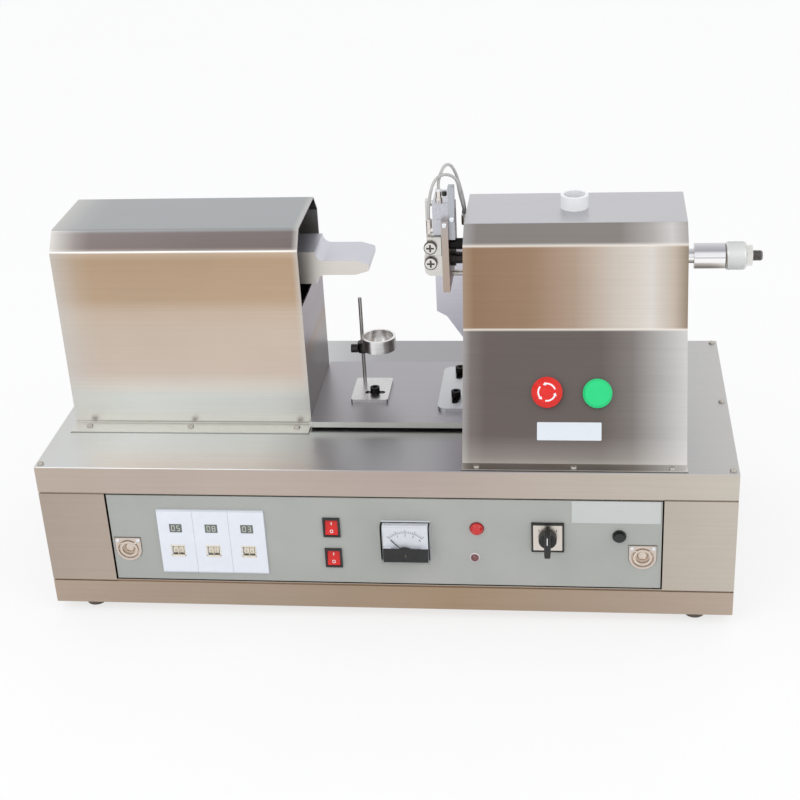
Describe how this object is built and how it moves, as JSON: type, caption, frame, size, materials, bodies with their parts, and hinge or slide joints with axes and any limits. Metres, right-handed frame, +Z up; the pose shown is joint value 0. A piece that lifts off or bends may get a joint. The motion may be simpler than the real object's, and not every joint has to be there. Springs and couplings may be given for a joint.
{
  "type": "tube sealing machine",
  "caption": "Bench-top ultrasonic tube sealer: flat steel cabinet, hooded horn, sliding press head, turning cup, stroke adjuster, drawer panel.",
  "frame": {"origin": "middle of the machine's footprint, on the surface it stands on", "axes": "+X along the cabinet from the horn to the stroke adjuster, +Y from front to back, +Z up"},
  "size_m": [0.9454, 0.447, 0.5645],
  "materials": {
    "cabinet_sheet": "brushed stainless sheet",
    "cover_sheet": "brushed stainless sheet",
    "black_rubber": "matt moulded rubber",
    "pan_screws": "zinc plated",
    "black_screws": "black oxide",
    "ground_steel": "ground plate",
    "horn_aluminium": "machined and polished",
    "transducer": "turned",
    "cylinder_aluminium": "clear anodised",
    "head_steel": "milled",
    "rods": "hard chromed",
    "adjuster": "polished, knurled where it is gripped",
    "nickel_fittings": "nickel plated",
    "hose": "extruded tube",
    "black_plastic": "moulded",
    "stop_red": "moulded",
    "stem": "moulded",
    "start_green": "moulded",
    "white_plastic": "moulded",
    "holder": "milled",
    "panel_paint": "satin paint",
    "galvanised": "galvanised",
    "generator": "board and coated parts",
    "clear_cover": "clear acrylic",
    "needle": "painted",
    "pull_metal": "satin chrome"
  },
  "bodies": {
    "cabinet": {"base_pan": "cabinet_sheet", "rubber_feet": "black_rubber", "cabinet_wrap": "cabinet_sheet", "deck_sheet": "cabinet_sheet", "cover_screws": "pan_screws", "clamp_screws": "black_screws", "bed_plate": "ground_steel", "hood_cover": "cover_sheet", "transducer_stack": "transducer", "transducer_clamp": "ground_steel", "horn": "horn_aluminium", "tower_cover": "cover_sheet", "press_frame": "ground_steel", "press_cylinder": "cylinder_aluminium", "guard_plate": "cover_sheet", "adjuster_barrel": "adjuster", "air_fittings": "nickel_fittings", "mains_inlet": "black_plastic", "hose_outer": "hose", "hose_inner": "hose", "button_collars": "black_plastic"},
    "head": {"carrier_plate": "head_steel", "anvil_bar": "head_steel", "anvil_screws": "pan_screws", "ram_rods": "rods", "cutter_cylinder": "cylinder_aluminium", "hose_fittings": "nickel_fittings"},
    "knife": {"knife_carriage": "head_steel", "knife_blade": "head_steel"},
    "spindle": {"adjuster_spindle": "rods", "lock_nut": "rods"},
    "thimble": {"adjuster_thimble": "adjuster"},
    "stop_stem": {"stop_stem": "stem"},
    "stop_head": {"stop_head": "stop_red"},
    "start_button": {"start_button": "start_green"},
    "spare_cup": {"spare_cup": "white_plastic"},
    "holder_base": {"post_base": "holder", "post": "rods"},
    "holder_arm": {"holder_arm": "black_screws"},
    "clamp_knob": {"clamp_knob": "black_plastic"},
    "tube_cup": {"tube_cup": "holder"},
    "drawer": {"control_panel": "panel_paint", "drawer_tray": "galvanised", "generator_unit": "generator", "timer_cases": "white_plastic", "meter_case": "white_plastic", "meter_cover": "clear_cover", "panel_bezels": "black_plastic", "indicator_lamps": "stop_red", "pull_plates": "pull_metal"},
    "meter_needle": {"meter_needle": "needle"},
    "rocker_upper": {"rocker_upper": "stop_red"},
    "rocker_lower": {"rocker_lower": "stop_red"},
    "cam_knob": {"cam_knob": "black_plastic"},
    "test_button": {"test_button": "black_plastic"},
    "ring_left": {"ring_left": "pull_metal"},
    "ring_right": {"ring_right": "pull_metal"},
    "wheels_left": {"wheels_left": "white_plastic"},
    "wheels_middle": {"wheels_middle": "white_plastic"},
    "wheels_right": {"wheels_right": "white_plastic"}
  },
  "joints": [
    {"name": "head_slide", "type": "slide", "parent": "cabinet", "child": "head", "axis": [-1, 0, 0], "range_m": [0, 0.073], "deforming": ["hose_outer", "hose_inner"]},
    {"name": "knife_slide", "type": "slide", "parent": "head", "child": "knife", "axis": [-1, 0, 0], "range_m": [0, 0.012]},
    {"name": "thimble_turn", "type": "hinge", "parent": "cabinet", "child": "thimble", "pos_m": [0.4249, 0.0085, 0.4342], "axis": [1, 0, 0], "range_deg": [0, 900]},
    {"name": "spindle_feed", "type": "slide", "parent": "cabinet", "child": "spindle", "axis": [1, 0, 0], "range_m": [0, 0.0051]},
    {"name": "stop_press", "type": "slide", "parent": "cabinet", "child": "stop_stem", "axis": [0, 0.8846, -0.4663], "range_m": [0, 0.005]},
    {"name": "stop_twist", "type": "hinge", "parent": "stop_stem", "child": "stop_head", "pos_m": [0.1978, -0.14798, 0.31242], "axis": [0, -0.8846, 0.4663], "range_deg": [0, 45], "stiffness_Nm_per_rad": 0.02},
    {"name": "start_press", "type": "slide", "parent": "cabinet", "child": "start_button", "axis": [0, 0.8846, -0.4663], "range_m": [0, 0.004], "stiffness_N_per_m": 600, "springref_m": -0.001},
    {"name": "spare_cup_lift", "type": "slide", "parent": "cabinet", "child": "spare_cup", "axis": [0, 0, 1], "range_m": [0, 0.06]},
    {"name": "holder_slide", "type": "slide", "parent": "cabinet", "child": "holder_base", "axis": [1, 0, 0], "range_m": [-0.008, 0.008]},
    {"name": "arm_height", "type": "slide", "parent": "holder_base", "child": "holder_arm", "axis": [0, 0, 1], "range_m": [-0.035, 0.05]},
    {"name": "knob_turn", "type": "hinge", "parent": "holder_arm", "child": "clamp_knob", "pos_m": [-0.0682, 0.0265, 0.293], "axis": [-1, 0, 0], "continuous": true},
    {"name": "cup_spin", "type": "hinge", "parent": "holder_arm", "child": "tube_cup", "pos_m": [-0.0357, 0.0085, 0.302], "axis": [0, 0, 1], "continuous": true},
    {"name": "drawer_slide", "type": "slide", "parent": "cabinet", "child": "drawer", "axis": [0, -1, 0], "range_m": [0, 0.22]},
    {"name": "needle_swing", "type": "hinge", "parent": "drawer", "child": "meter_needle", "pos_m": [0.0148, -0.2055, 0.1072], "axis": [0, 1, 0], "range_deg": [0, 90], "stiffness_Nm_per_rad": 0.00001},
    {"name": "rocker_upper_tilt", "type": "hinge", "parent": "drawer", "child": "rocker_upper", "pos_m": [-0.0828, -0.195, 0.1386], "axis": [1, 0, 0], "range_deg": [0, 20]},
    {"name": "rocker_lower_tilt", "type": "hinge", "parent": "drawer", "child": "rocker_lower", "pos_m": [-0.0828, -0.195, 0.092], "axis": [1, 0, 0], "range_deg": [0, 20]},
    {"name": "cam_turn", "type": "hinge", "parent": "drawer", "child": "cam_knob", "pos_m": [0.1986, -0.1995, 0.1288], "axis": [0, 1, 0], "range_deg": [-45, 45]},
    {"name": "test_press", "type": "slide", "parent": "drawer", "child": "test_button", "axis": [0, 1, 0], "range_m": [0, 0.003], "stiffness_N_per_m": 500, "springref_m": -0.001},
    {"name": "ring_left_lift", "type": "hinge", "parent": "drawer", "child": "ring_left", "pos_m": [-0.3604, -0.1958, 0.1085], "axis": [-1, 0, 0], "range_deg": [0, 90]},
    {"name": "ring_right_lift", "type": "hinge", "parent": "drawer", "child": "ring_right", "pos_m": [0.3199, -0.1958, 0.1085], "axis": [-1, 0, 0], "range_deg": [0, 90]},
    {"name": "wheels_left_turn", "type": "hinge", "parent": "drawer", "child": "wheels_left", "pos_m": [-0.2917, -0.1893, 0.1005], "axis": [1, 0, 0], "continuous": true},
    {"name": "wheels_middle_turn", "type": "hinge", "parent": "drawer", "child": "wheels_middle", "pos_m": [-0.2437, -0.1893, 0.1005], "axis": [1, 0, 0], "continuous": true},
    {"name": "wheels_right_turn", "type": "hinge", "parent": "drawer", "child": "wheels_right", "pos_m": [-0.1957, -0.1893, 0.1005], "axis": [1, 0, 0], "continuous": true}
  ],
  "couplings": [
    {"joint": "spindle_feed", "follows": "thimble_turn", "m_per_rad": 0.00031831}
  ]
}
